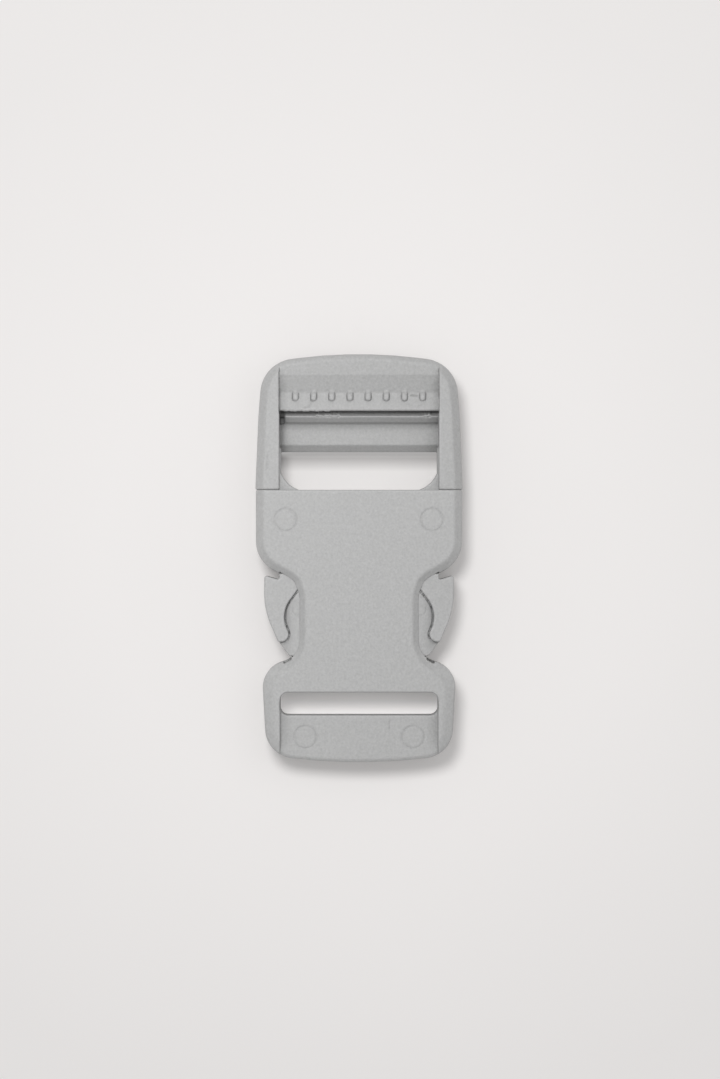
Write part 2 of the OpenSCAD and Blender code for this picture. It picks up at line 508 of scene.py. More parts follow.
def edge_marks(form: Field, skin: Skin, lines: tuple[Ring | Stroke, ...]) -> dict[Mark, Array]:
    """How far each point of a skin lies on a worn edge, in a corner, a hollow or a fine line.

    Under a flat face the field at depth d is -d. It is nearer to zero behind an edge that
    stands out, and in front of a corner, or at greater reach of a hollow, it is less than d.

    Args:
        form: The field that the skin was made from.
        skin: The skin.
        lines: The fine lines on its front.

    Returns:
        The marks, from 0 to 1.
    """
    edge_d, corner_d, hollow_d = 0.5, 0.8, 2.2
    on_front = skin.normals[:, 2] > 0.3

    def ahead(distance: float) -> Array:
        """The field at that distance in front of each point."""
        return form(*(skin.points + distance * skin.normals).T)

    return {
        Mark.EDGE: np.clip(1.0 + ahead(-edge_d) / edge_d, 0.0, 1.0),
        Mark.CORNER: np.clip(1.0 - ahead(corner_d) / corner_d, 0.0, 1.0),
        Mark.HOLLOW: np.clip(1.0 - ahead(hollow_d) / hollow_d, 0.0, 1.0),
        Mark.LINE: scored(lines, *skin.points.T[:2], LINE_W) * on_front,
    }


def write_piece(name: str, skin: Skin, finish: bpy.types.Material) -> bpy.types.Object:
    """Puts a surface into a new piece that rides on the buckle's one body.

    Args:
        name: The piece's name.
        skin: Its surface, in millimetres.
        finish: Its material.

    Returns:
        The new object, at the origin.
    """
    mesh = bpy.data.meshes.new(name)
    count = len(skin.quads)
    mesh.vertices.add(len(skin.points))
    mesh.vertices.foreach_set("co", (skin.points * MM).astype(np.float32).ravel())
    mesh.loops.add(4 * count)
    mesh.loops.foreach_set("vertex_index", skin.quads.astype(np.int32).ravel())
    mesh.polygons.add(count)
    mesh.polygons.foreach_set("loop_start", np.arange(0, 4 * count, 4, dtype=np.int32))
    mesh.update(calc_edges=True)
    mesh.validate()
    for mark, values in skin.marks.items():
        layer = mesh.attributes.new(mark.value, "FLOAT", "POINT")
        layer.data.foreach_set("value", values.astype(np.float32))
    mesh.polygons.foreach_set("use_smooth", np.ones(count, bool))
    mesh.normals_split_custom_set_from_vertices(skin.normals.astype(np.float32))
    mesh.materials.append(finish)
    piece = bpy.data.objects.new(name, mesh)
    bpy.context.scene.collection.objects.link(piece)
    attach(piece, BODY)
    log.info("%s: %d points, %d triangles", name, len(skin.points), 2 * count)
    return piece


class Nodes:
    """Builds one node tree, one node at a time."""

    def __init__(self, tree: bpy.types.NodeTree) -> None:
        """Starts with an empty tree.

        Args:
            tree: The tree to fill.
        """
        self.tree = tree
        tree.nodes.clear()

    def add(self, kind: str, settings: dict[str, Any] | None = None, **sockets: Any) -> bpy.types.Node:
        """Adds a node.

        Args:
            kind: The node's type.
            settings: What is set on the node first, such as a Math node's operation.
            sockets: A value, Wire or output for each input, by its name with _ for a space.
                A name that is a number after n is the input's index.

        Returns:
            The node.
        """
        node = self.tree.nodes.new(kind)
        for key, value in (settings or {}).items():
            setattr(node, key, value)
        for key, value in sockets.items():
            place = int(key[1:]) if key[0] == "n" and key[1:].isdigit() else key.replace("_", " ")
            self.put(node.inputs[place], value)
        return node

    def put(self, socket: bpy.types.NodeSocket, value: Any) -> None:
        """Sets an input to a value, or links a Wire or an output to it.

        Args:
            socket: The input.
            value: What it takes.
        """
        source = value.out if isinstance(value, Wire) else value
        if isinstance(source, bpy.types.NodeSocket):
            self.tree.links.new(source, socket)
        else:
            socket.default_value = source

    def scaled(self, vector: Any, factor: Any) -> bpy.types.NodeSocket:
        """A vector or a colour times a number."""
        node = self.add("ShaderNodeVectorMath", {"operation": "SCALE"}, Vector=vector, Scale=factor)
        return node.outputs[0]


@dataclass(frozen=True)
class Wire:
    """A number that runs through a node tree, with arithmetic that adds Math nodes."""

    nodes: Nodes
    out: bpy.types.NodeSocket

    def _math(self, operation: str, a: Any, b: Any = 0.0, clamp: bool = False) -> "Wire":
        """A Math node on two numbers or wires."""
        node = self.nodes.add("ShaderNodeMath", {"operation": operation, "use_clamp": clamp}, n0=a, n1=b)
        return Wire(self.nodes, node.outputs[0])

    def __add__(self, other: Any) -> "Wire":
        """This plus another."""
        return self._math("ADD", self, other)

    __radd__ = __add__

    def __mul__(self, other: Any) -> "Wire":
        """This times another."""
        return self._math("MULTIPLY", self, other)

    __rmul__ = __mul__

    def __sub__(self, other: Any) -> "Wire":
        """This less another."""
        return self._math("SUBTRACT", self, other)

    def __rsub__(self, other: Any) -> "Wire":
        """Another less this."""
        return self._math("SUBTRACT", other, self)

    def clamped(self) -> "Wire":
        """This, held between 0 and 1."""
        return self._math("ADD", self, 0.0, clamp=True)

    def power(self, exponent: float) -> "Wire":
        """This to a power."""
        return self._math("POWER", self, exponent)


@dataclass(frozen=True)
class MouldedPlastic:
    """Matt light grey acetal with a fine spark-eroded grain.

    Attributes:
        tone: Linear grey of the plastic.
        mottle: How far large patches vary, as a share of the tone.
        painted_falloff: Painted light falloff: how much darker each millimetre towards +X and -Y is, as a
            share of the tone.
        speckle: How far single grains vary, as a share of the tone.
        speckle_mix: Shares of even grain and of longer flecks in it, which add up to 2.
        painted_hollow_shade: Painted shade: how much darker the plastic is at the bottom of a hollow.
        corner_dirt_and_shade: How much darker it is right in a corner, as dirt and painted shade.
        line_dirt_and_shade: How much darker it is in a fine line, as dirt and painted shade.
        wear: How much lighter a worn edge is.
        roughness: Roughness of a flat face.
        grain_rough: How far it varies with the grain.
        patch_rough: How far it varies with the patches.
        polish: How much smoother a worn edge is.
        ior: Its index of refraction.
        grain_mm: Size of the grain.
        grain_depth: Depth of the grain in millimetres.
        patch_depth: Depth of the patches, as a share of the grain's.
        flecks_per_grain: Flecks along the width of a grain.
        fleck_stretch: What each axis is multiplied by for the flecks.
        patches_per_mm: Large patches to the millimetre.
        flow_per_mm: Flow streaks to the millimetre, across the buckle.
        flow_stretch: What each axis is multiplied by for the streaks.
        layering: How strong each finer layer of noise is, against the one before.
        tone_range: The darkest and the lightest that the plastic gets, as shares of the tone.
        blue: Blue as a share of red and green, where it is darkest and lightest.
    """

    tone: float = 0.468
    mottle: float = 0.014
    # Painted light: the colour falls off towards +X and -Y, as light falls off across the buckle.
    painted_falloff: tuple[float, float] = (0.0022, 0.0014)
    speckle: float = 0.26
    speckle_mix: tuple[float, float] = (1.2, 0.8)
    # Painted shade: the plastic is painted darker deep in hollows.
    painted_hollow_shade: float = 0.24
    # Dirt and painted shade: the plastic is painted darker right in corners.
    corner_dirt_and_shade: float = 0.13
    # Dirt and painted shade: the plastic is painted darker in the fine lines.
    line_dirt_and_shade: float = 0.1
    wear: float = 0.04
    roughness: float = 0.56
    grain_rough: float = 0.14
    patch_rough: float = 0.1
    polish: float = 0.16
    ior: float = 1.48
    grain_mm: float = 0.32
    grain_depth: float = 0.02
    patch_depth: float = 0.3
    flecks_per_grain: float = 0.75
    fleck_stretch: Point = (1.0, 0.7, 1.0)
    patches_per_mm: float = 0.16
    flow_per_mm: float = 0.5
    flow_stretch: Point = (1.0, 0.22, 1.0)
    layering: float = 0.55
    tone_range: tuple[float, float] = (0.5, 1.3)
    blue: tuple[float, float] = (0.992, 0.996)

    def build(self, name: str) -> bpy.types.Material:
        """Makes the material.

        Args:
            name: Its name.

        Returns:
            The material.
        """
        material = bpy.data.materials.new(name)
        material.use_nodes = True
        n = Nodes(material.node_tree)
        place = n.add("ShaderNodeTexCoord").outputs["Object"]
        place_mm = n.scaled(place, 1.0 / MM)

        def noise(per_mm: float, detail: float, stretch: Point = (1.0, 1.0, 1.0)) -> Wire:
            """Noise between 0 and 1 on the object's own millimetres.

            Args:
                per_mm: Lumps to the millimetre.
                detail: How many finer layers it has.
                stretch: What each axis is multiplied by first.

            Returns:
                The noise.
            """
            at = n.add("ShaderNodeVectorMath", {"operation": "MULTIPLY"}, n0=place_mm, n1=stretch)
            made = n.add(
                "ShaderNodeTexNoise",
                Vector=at.outputs[0], Scale=per_mm, Detail=detail, Roughness=self.layering,
            )
            return Wire(n, made.outputs["Fac"])

        def noted(mark: Mark) -> Wire:
            """What the skin notes at each of its points."""
            made = n.add("ShaderNodeAttribute", {"attribute_name": mark.value})
            return Wire(n, made.outputs["Fac"])

        edge = noted(Mark.EDGE)
        grain = noise(1.0 / self.grain_mm, 2.0)
        flecks = noise(self.flecks_per_grain / self.grain_mm, 1.0, self.fleck_stretch)
        patches = noise(self.patches_per_mm, 3.0)
        flow = noise(self.flow_per_mm, 2.0, self.flow_stretch)
        grain_share, fleck_share = self.speckle_mix
        axes = n.add("ShaderNodeSeparateXYZ", Vector=place_mm).outputs
        # The colour holds painted light and shade, a falloff towards +X and -Y and darkening in hollows,
        # corners and fine lines, beside real wear, dirt and grain.
        shade = (
            1.0
            - Wire(n, axes["X"]) * self.painted_falloff[0]
            + Wire(n, axes["Y"]) * self.painted_falloff[1]
            + (patches - 0.5) * (2.0 * self.mottle)
            + (flow - 0.5) * self.mottle
            + (grain * grain_share + flecks * fleck_share - 1.0) * self.speckle
            + edge * self.wear
            - noted(Mark.CORNER).power(2.0) * self.corner_dirt_and_shade
            - noted(Mark.HOLLOW) * self.painted_hollow_shade
            - noted(Mark.LINE) * self.line_dirt_and_shade
        )
        least, most = self.tone_range
        dark, light = self.tone * least, self.tone * most
        blend = ((shade - least) * (1.0 / (most - least))).clamped()
        dark_blue, light_blue = self.blue
        colour = n.add(
            "ShaderNodeMix", {"data_type": "RGBA"},
            n0=blend, n6=(dark, dark, dark * dark_blue, 1.0), n7=(light, light, light * light_blue, 1.0),
        ).outputs[2]
        rough = (
            self.roughness
            + (grain - 0.5) * self.grain_rough
            + (patches - 0.5) * self.patch_rough
            - edge * self.polish
        )
        bump = n.add(
            "ShaderNodeBump",
            Strength=1.0, Distance=self.grain_depth * MM, Height=grain + patches * self.patch_depth,
        ).outputs[0]
        shader = n.add(
            "ShaderNodeBsdfPrincipled",
            Base_Color=colour, Roughness=rough.clamped(), Normal=bump, IOR=self.ior,
        )
        n.add("ShaderNodeOutputMaterial", Surface=shader.outputs[0])
        return material


@dataclass(frozen=True)
class PaleFloor:
    """The plain pale surface that the buckle lies on, lit a little from below.

    A soft shadow is painted on it in the adjuster's opening, with a painted bright strip at the bar's
    foot;
    the light from below is painted brighter in the socket's slot, and the floor is painted a little
    darker far out.

    Attributes:
        tone: Its colour.
        glow: Colour of the light from below.
        roughness: Its roughness.
        half_w: Half the width of the buckle's openings.
        edge: How fast its light changes at their edges, as a share to the millimetre.
        opening_y: Lower end of the adjuster's opening.
        bar_y: Edge of the adjuster bar.
        fade: How far the painted shadow reaches from the bar.
        shade: How much darker the painted shadow makes the floor.
        foot: How far a painted bright strip reaches from the bar, and its painted light from below.
        slot: The two edges of the socket's slot.
        slot_glow: How much more light is painted as coming from below in that slot.
        far: Where the floor starts to be painted darker as light falls off, over what distance, and by
            how much.
        fog: How many faint clouds it has to the metre, and how far they vary.
    """

    tone: Point = (0.742, 0.722, 0.713)
    glow: Point = (0.145, 0.143, 0.142)
    roughness: float = 0.8
    half_w: float = 13.6
    edge: float = 2.0
    opening_y: float = 11.0
    bar_y: float = 17.7
    fade: float = 3.3
    shade: float = 0.55
    foot: tuple[float, float] = (1.15, 2.9)
    slot: tuple[float, float] = (-26.5, -21.6)
    slot_glow: float = 2.0
    far: Point = (43.0, 52.0, 0.065)
    fog: tuple[float, float] = (14.0, 0.03)

    def build(self, name: str) -> bpy.types.Material:
        """Makes the material, with a very faint unevenness.

        Args:
            name: Its name.

        Returns:
            The material.
        """
        material = bpy.data.materials.new(name)
        material.use_nodes = True
        n = Nodes(material.node_tree)
        place = n.add("ShaderNodeTexCoord").outputs["Object"]
        clouds, cloud_depth = self.fog
        fog = Wire(n, n.add("ShaderNodeTexNoise", Vector=place, Scale=clouds, Detail=3.0).outputs["Fac"])
        place_mm = n.scaled(place, 1.0 / MM)
        axes = n.add("ShaderNodeSeparateXYZ", Vector=place_mm).outputs
        x, y = Wire(n, axes["X"]), Wire(n, axes["Y"])

        def strip(low: float, high: float) -> Wire:
            """One across the buckle's openings between two places along it, and none elsewhere."""
            inside = [x + self.half_w, self.half_w - x, y - low, high - y]
            left, right, lower, upper = [(reach * self.edge).clamped() for reach in inside]
            return left * right * lower * upper

        def falling(reach: float) -> Wire:
            """One at the adjuster bar and none that far from it."""
            return 1.0 - ((self.bar_y - y) * (1.0 / reach)).clamped()

        # Where the painted shadow and the painted bright strip lie, in the adjuster's opening.
        opening = strip(self.opening_y, self.bar_y + 1.0)
        # Painted light: the light from below is painted brighter in the socket's slot, rising towards its
        # lower edge.
        slot_low, slot_high = self.slot
        slot = strip(slot_low, slot_high) * ((slot_high - y) * (1.0 / (slot_high - slot_low))).clamped()
        # Painted light from below: a bright strip at the bar's foot, then less of it in the painted
        # shadow.
        foot_reach, foot_glow = self.foot
        in_opening = falling(foot_reach) * foot_glow - falling(self.fade)
        strength = 1.0 + opening * in_opening + slot * self.slot_glow
        # Painted light falloff: the floor is painted darker far from the buckle.
        start, over, loss = self.far
        length = n.add("ShaderNodeVectorMath", {"operation": "LENGTH"}, Vector=place_mm)
        dim = ((Wire(n, length.outputs["Value"]) - start) * (1.0 / over)).clamped() * loss
        # The floor's colour carries the painted shadow in the opening and painted darkening far out.
        level = 1.0 - dim - opening * falling(self.fade) * self.shade + (fog - 0.5) * cloud_depth
        shader = n.add(
            "ShaderNodeBsdfPrincipled",
            Base_Color=n.scaled(self.tone, level), Roughness=self.roughness,
            Emission_Color=n.scaled(self.glow, strength), Emission_Strength=1.0,
        )
        n.add("ShaderNodeOutputMaterial", Surface=shader.outputs[0])
        return material


def arm_slit(x: Array, y: Array, z: Array, width: float, low: float) -> Array:
    """Field of the narrow slit between the tip of each arm and the lower shoulder.

    Args:
        x: Places across.
        y: Places along.
        z: Heights.
        width: The slit's width.
        low: How deep it reaches.

    Returns:
        The slit's field.
    """
    run = Stroke((12.27, -17.22), (11.25, -16.64))
    return np.maximum(run.distance(np.abs(x), y) - width / 2, low - z)


@dataclass
class Socket:
    """The lower moulding: a hollow body with side windows and a fixed webbing slot."""

    # Bevels: along the upper body, then where they differ
    bevel_w: float = 1.25
    bevel_slope: float = 46.0
    bevel_blend: float = 0.17
    waist_bevel: float = 1.0
    waist_y: float = -10.4
    waist_h: float = 6.8
    waist_ease: float = 1.5
    shoulder_w: float = 2.3
    shoulder_slope: float = 22.0
    shoulder_at: tuple[float, float] = (14.6, -19.2)
    shoulder_reach: tuple[float, float] = (5.2, 3.4)
    rim_w: float = 1.6
    rim_slope: float = 25.0
    rim_break: float = 0.36
    rim_ease: float = 2.6
    break_r: float = 0.25
    # Walls and outline
    plate_t: float = 1.1
    side_wall: float = 1.6
    waist_w: float = 19.7
    lower_w: float = 32.0
    end_angle: float = 6.5
    end_r: float = 94.0
    # The fixed slot and the bar below it
    web_gap: float = 26.0
    slot_h: float = 3.75
    slot_r: float = 1.3
    slot_y: float = -22.1
    bar_recess: float = 1.4
    bar_end_w: float = 0.42
    bar_end_slope: float = 38.0
    bar_end_r: float = 0.1
    # The hollow, its side windows and its guide walls
    catch_x: float = 13.2
    catch_top: float = 0.0
    window_low: float = -16.9
    window_high: float = -4.45
    sill_rise: float = 0.6
    sill_x: float = 10.5
    sill_ease: float = 0.5
    hollow_end: float = -18.6
    hollow_end_w: float = 18.0
    guide_x: float = 4.4
    guide_t: float = 1.2
    guide_top: float = 2.0
    # The slits at the arm tips, and the fine lines on the front
    slit_w: float = 0.34
    slit_low: float = 2.5
    lines: tuple[Ring | Stroke, ...] = (
        Ring(-12.1, 6.3, 1.82), Ring(12.0, 6.3, 1.82), Ring(-8.9, -29.5, 1.83), Ring(8.9, -29.5, 1.83),
        Stroke((5.1, -26.9), (5.0, -28.3)),
    )

    def __post_init__(self) -> None:
        """Takes the outer sizes from the frame and draws the outline."""
        low, high = corner_sizes("socket")
        self.low_y, self.mouth_y = low[1], high[1]
        self.top, self.half_w = high[2], high[0]
        past = 6.0
        angle = math.radians(self.end_angle)
        end_y = self.low_y - self.end_r * (1 / math.cos(angle) - 1)
        corner_x = self.lower_w / 2 - 0.75
        self.outline = Outline((
            (0.0, end_y, self.end_r),
            (corner_x, end_y + corner_x * math.tan(angle), 5.0),
            (self.lower_w / 2 + 0.05, -18.0, 4.3),
            (self.waist_w / 2, -16.36, 3.7),
            (self.waist_w / 2, -4.42, 4.1),
            (self.half_w, -0.37, 5.5),
            (self.half_w, self.mouth_y + past, 2.0),
            (0.0, self.mouth_y + past, 0.0),
        ), half=True)

    def hollow(self, x: Array, y: Array, z: Array, plan: Array) -> Array:
        """Field of the space between the plates.

        The mouth follows the outline at the side wall's distance. The catches narrow it,
        and below them it opens through both sides, down to a sill that rises at the
        shoulders. Two guide walls stand in it.

        Args:
            x: Places across.
            y: Places along.
            z: Heights.
            plan: Field of the outline there.

        Returns:
            The space's field.
        """
        overlap = 1.0
        ax = np.abs(x)
        mouth = np.maximum(plan + self.side_wall, self.window_high - y)
        catches = np.maximum(ax - self.catch_x, between(y, self.window_high - overlap, self.catch_top))
        sill = self.window_low + self.sill_rise * ease((ax - self.sill_x) / self.sill_ease)
        windows = between(y, sill, self.window_high)
        end_run = between(y, self.hollow_end, self.window_low + overlap)
        end = np.maximum(ax - self.hollow_end_w / 2, end_run)
        space = np.minimum(np.minimum(mouth, catches), np.minimum(windows, end))
        guides = np.maximum(between(ax, self.guide_x, self.guide_x + self.guide_t), y - self.guide_top)
        space = np.maximum(space, -guides)
        return meet(space, between(z, self.plate_t, self.top - self.plate_t), self.break_r)

    def form(self, x: Array, y: Array, z: Array) -> Array:
        """The moulding's field.

        A slab of the outline with bevelled edges, which are wide and shallow round the lower
        body, less the mouth, the hollow, the slot and a step behind and in front of the web
        bar, whose end has a bevel of its own.

        Args:
            x: Places across.
            y: Places along.
            z: Heights.

        Returns:
            The field.
        """
        ax = np.abs(x)
        plan = self.outline.distance(x, y)
        rim = ease((self.slot_y + self.rim_ease - y) / self.rim_ease)
        (at_x, at_y), (reach_x, reach_y) = self.shoulder_at, self.shoulder_reach
        shoulder = ease(1.0 - np.hypot((ax - at_x) / reach_x, (y - at_y) / reach_y))
        waist = ease((self.waist_h - np.abs(y - self.waist_y)) / self.waist_ease)
        width = self.bevel_w + (self.waist_bevel - self.bevel_w) * waist
        width = width + (self.rim_w - width) * rim
        width = width + (self.shoulder_w - width) * shoulder
        slope = self.bevel_slope + (self.rim_slope - self.bevel_slope) * rim
        slope = slope + (self.shoulder_slope - slope) * shoulder
        side_break = SIDE_BREAK + (self.rim_break - SIDE_BREAK) * rim
        body = bevelled(plan, between(z, 0.0, self.top), width, slope, self.bevel_blend, side_break)
        body = meet(body, y - self.mouth_y, MOUTH_BREAK)
        body = cut(body, self.hollow(x, y, z, plan), self.break_r / 2)
        slot = rounded_window(x, y, self.web_gap / 2, self.slot_y - self.slot_h, self.slot_y, self.slot_r)
        body = cut(body, slot, self.break_r)
        past_corners = 0.2
        below = np.maximum(ax - self.web_gap / 2, y - (self.slot_y - self.slot_r - past_corners))
        front = meet(below, (self.top - self.bar_recess) - z, self.break_r)
        back = meet(below, z - self.bar_recess, self.break_r)
        body = cut(cut(body, front, self.break_r), back, self.break_r)
        bar = between(z, self.bar_recess, self.top - self.bar_recess)
        bar_end = bevel_plane(plan, bar, self.bar_end_w, self.bar_end_slope)
        on_bar = (ax < self.web_gap / 2) & (y < self.slot_y)
        well_inside = -1.0
        body = meet(body, np.where(on_bar, bar_end, well_inside), self.bar_end_r)
        body = cut(body, arm_slit(x, y, z, self.slit_w, self.slit_low), FINE_BREAK)
        return body + LINE_D * scored(self.lines, x, y, LINE_W) * (z > self.top / 2)

    def grid(self) -> Grid:
        """Lines that are close along the edges and wide across the flat plates."""
        w = self.half_w + 0.31
        x = ruler(
            (-w, 0.2), (-6.9, 0.5), (-5.9, 0.3), (-4.1, 0.62),
            (4.1, 0.3), (5.9, 0.5), (6.9, 0.2), (w, 0.2),
        )
        y = ruler(
            (self.low_y - 0.31, 0.2), (-15.2, 0.45), (-6.7, 0.2), (0.9, 0.45), (4.2, 0.2),
            (8.4, 0.45), (10.5, 0.2), (self.mouth_y + 0.33, 0.2),
        )
        z = ruler((-0.23, 0.17), (2.05, 0.5), (self.top - 2.05, 0.17), (self.top + 0.23, 0.17))
        return Grid(x, y, z)

    def build(self, finish: bpy.types.Material) -> bpy.types.Object:
        """Skins the moulding and lets it stand for its node.

        Args:
            finish: Its material.

        Returns:
            The piece.
        """
        skin = skin_of(self.form, self.grid())
        skin.marks = edge_marks(self.form, skin, self.lines)
        piece = write_piece("socket_moulding", skin, finish)
        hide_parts("socket")
        return piece


@dataclass
class Plug:
    """The upper moulding: the adjuster frame, and the base, tongue and arms in the socket."""

    # The gap at the socket, and how far a bar reaches into what carries it
    gap: float = 0.03
    root: float = 0.6
    # The rails and the closed end, which rises off the floor and falls a little in front
    rail_h: float = 9.1
    rail_gap: float = 26.3
    rail_break: float = 0.22
    lift_y: float = 20.0
    end_lift: float = 2.8
    fall_y: float = 12.0
    end_fall: float = 0.4
    rim_d: float = 1.4
    opening_top: float = 17.55
    opening_w: float = 25.8
    gusset_r: float = 5.2
    # The grip ribs
    rib_count: int = 8
    rib_pitch: float = 3.0
    rib_w: float = 1.0
    rib_h: float = 0.45
    rib_r: float = 0.35
    rib_low: float = 25.9
    rib_high: float = 28.2
    rib_fall: tuple[float, float] = (0.3, 1.1)
    # The lever bar's front, from its lip to the closed end, and the flash on the lip
    lever_low_y: float = 24.0
    lip_y: float = 24.3
    lip_top: float = 7.2
    valley_y: float = 27.35
    valley_z: float = 7.05
    brow_y: float = 30.2
    brow_z: float = 8.05
    lever_edge_r: float = 1.2
    lip_flash: float = 0.14
    lip_flash_run: tuple[float, float] = (-12.6, -4.6)
    lip_flash_end: float = 25.4
    lip_flash_fade: float = 0.6
    # The lower bar and the ledge on it, with the notch at its left end
    lower_bar_z: float = 3.4
    bar_r: float = 0.15
    ledge_y: float = 23.4
    ledge_z: float = 6.2
    ledge_ends: tuple[float, float] = (-12.35, 13.3)
    ledge_end_r: float = 0.4
    ledge_foot: float = 1.3
    ledge_flash: float = 0.3
    ledge_flash_runs: tuple[tuple[float, float], ...] = ((-7.3, -3.0), (10.3, 12.1))
    ledge_flash_fade: float = 0.3
    notch: tuple[float, float] = (22.2, 23.4)
    notch_gap: float = 0.1
    notch_z: float = 2.7
    # The base, the tongue and the arms
    base_x: float = 15.15
    base_low_y: float = 8.6
    tongue_end: float = -14.5
    tongue_x: float = 4.15
    tongue_r: float = 2.5
    arm_low: float = 2.2
    arm_r: float = 0.2
    grip_y: float = -2.5
    # The webs between the arm heads, which fall away outwards, and the groove round a head
    web_low: float = 3.5
    web_x: float = 9.9
    web_fall: float = 0.1
    web_curve: float = 0.09
    groove_w: float = 0.24
    groove_d: float = 0.42
    groove_r: float = 0.08
    groove_end: float = -14.2
    groove_ease: float = 2.2
    groove_right: float = 0.6
    lines: tuple[Ring | Stroke, ...] = (
        Ring(-9.97, -8.4, 1.1, -135.0, 65.0, 0.5), Ring(9.97, -8.4, 1.1, -45.0, 65.0, 0.6),
        Stroke((8.65, 26.85), (9.55, 26.75), 1.8),
        Ring(-8.84, 25.67, 0.93, -45.0, 60.0), Ring(9.3, 27.1, 2.2, -90.0, 33.0, 0.7),
        Stroke((-15.1, 16.9), (-15.15, 14.6)),
    )

    def __post_init__(self) -> None:
        """Takes the outer sizes from the frame and draws the outlines and sections."""
        low, high = corner_sizes("plug")
        socket_low, socket_high = corner_sizes("socket")
        self.half_l, self.half_w = high[1], socket_high[0]
        self.mouth_y, self.top = socket_high[1], socket_high[2]
        self.low_y = self.mouth_y + self.gap
        self.head_low = Socket.plate_t + self.gap
        self.head_high = self.top - self.head_low
        past, out = 6.0, 3.0
        self.outline = Outline((
            (0.0, self.low_y - past, 0.0),
            (self.half_w + 0.35, self.low_y - past, 2.0),
            (self.half_w - 0.4, 23.5, 40.0),
            (self.half_w - 1.1, self.half_l - 1.37, 5.9),
            (0.0, self.half_l + 0.63, 80.0),
        ), half=True)
        self.lever = Outline((
            (self.half_l + out, 3.2, 0.0),
            (self.half_l + out, 8.5, 0.0),
            (self.brow_y, self.brow_z, 0.3),
            (self.valley_y, self.valley_z, 0.2),
            (self.lip_y, self.lip_top, 0.25),
            (self.lip_y, 5.5, 0.8),
            (26.6, 4.5, 2.0),
            (31.0, 4.1, 2.0),
        ))
        self.lower_bar = Outline((
            (self.opening_top, 1.3, 0.6),
            (self.ledge_y + 1.5, 1.3, 0.6),
            (self.ledge_y + 1.35, 2.6, 0.5),
            (self.ledge_y + 0.6, self.lower_bar_z + 0.6, 0.4),
            (self.ledge_y - 0.8, self.lower_bar_z + 0.2, 0.4),
            (self.ledge_y - 1.05, self.lower_bar_z, 0.15),
            (18.7, self.lower_bar_z, 0.1),
            (self.opening_top, self.lower_bar_z - 1.2, 0.1),
        ))
        self.ledge = Outline((
            (self.ledge_y - 1.05, self.lower_bar_z - 0.5, 0.0),
            (self.ledge_y + 1.5, self.lower_bar_z - 0.5, 0.0),
            (self.ledge_y + 1.05, self.lower_bar_z + 1.0, 0.4),
            (self.ledge_y, self.ledge_z, 0.15),
            (self.ledge_y - 0.95, self.ledge_z - 1.4, 0.15),
        ))
        self.lever_line = (
            (self.lip_y, self.valley_y, self.brow_y, self.half_l + out),
            (self.lip_top, self.valley_z, self.brow_z, 8.5),
        )
        latch = Socket.catch_x - self.gap
        self.head = Outline((
            (13.35, -13.8, 0.3),
            (15.74, -8.3, 14.0),
            (15.6, -2.8, 0.35),
            (latch, -3.55, 0.25),
            (latch, -0.5, 6.0),
            (13.4, self.base_low_y + self.root, 0.0),
            (11.4, self.base_low_y + self.root, 0.0),
            (10.9, -1.0, 12.0),
            (9.2, -4.0, 0.5),
            (13.0, -9.05, 4.6),
            (10.95, -13.8, 1.25),
        ))
        self.web = Outline((
            (10.4, -16.2, 0.4),
            (11.5, -16.1, 0.2),
            (12.35, -15.0, 3.0),
            (13.45, -13.45, 1.5),
            (14.4, -9.0, 3.0),
            (12.2, -4.2, 1.0),
            (8.9, -4.2, 1.6),
            (8.9, -14.4, 3.0),
        ))

    def frame_form(self, x: Array, y: Array, z: Array) -> Array:
        """Field of the adjuster frame.

        A bevelled slab of the outline makes the rails and the closed end. The lever bar, the
        grip ribs on it, and the lower bar with its ledge run into it.

        Args:
            x: Places across.
            y: Places along.
            z: Heights.

        Returns:
            The frame's field.
        """
        ax = np.abs(x)
        plan = self.outline.distance(x, y)
        rise = np.clip((y - self.lift_y) / (self.half_l - self.lift_y), 0.0, 1.0)
        fall = np.clip((y - self.fall_y) / (self.half_l - self.fall_y), 0.0, 1.0)
        slab = between(z, self.end_lift * rise**2, self.rail_h - self.end_fall * fall**2)
        body = bevelled(plan, slab, Socket.bevel_w, Socket.bevel_slope, Socket.bevel_blend)
        body = meet(body, self.low_y - y, MOUTH_BREAK)
        inner = ax - self.rail_gap / 2
        body = cut(body, np.maximum(inner, plan + self.rim_d), self.rail_break)
        lever_z = np.interp(y, *self.lever_line)
        under_skin = lever_z - self.lever_edge_r
        above = np.maximum(under_skin - z, self.lever_low_y - y)
        body = cut(body, np.maximum(inner, above), self.rail_break)
        flash = self.lip_flash * lumps(x, *self.lip_flash_run)
        lever = self.lever.distance(y + flash * ease((self.lip_flash_end - y) / self.lip_flash_fade), z)
        lever = meet(np.maximum(lever, inner - self.root), plan, self.lever_edge_r)
        body = join(body, lever)
        lane = np.clip(np.round(x / self.rib_pitch - 0.5), -self.rib_count // 2, self.rib_count // 2 - 1)
        rib_x = x - (lane + 0.5) * self.rib_pitch
        half = self.rib_w / 2
        rib_y = y - np.clip(y, self.rib_low + half, self.rib_high - half)
        fall_from, fall_over = self.rib_fall
        rib_top = lever_z + self.rib_h * ease((self.rib_high - fall_from - y) / fall_over)
        rib_slab = between(z, self.valley_z - self.root, rib_top)
        rib = meet(np.hypot(rib_x, rib_y) - half, rib_slab, self.rib_r)
        body = join(body, rib, FINE_BREAK)
        lower = np.maximum(self.lower_bar.distance(y, z), inner - self.root)
        flash = self.ledge_flash * sum(lumps(x, *run) for run in self.ledge_flash_runs)
        flash = flash * ease((y - self.ledge_y) / self.ledge_flash_fade + 1.0)
        ledge = self.ledge.distance(y - flash, z)
        ledge = meet(ledge, between(x, *self.ledge_ends), self.ledge_end_r)
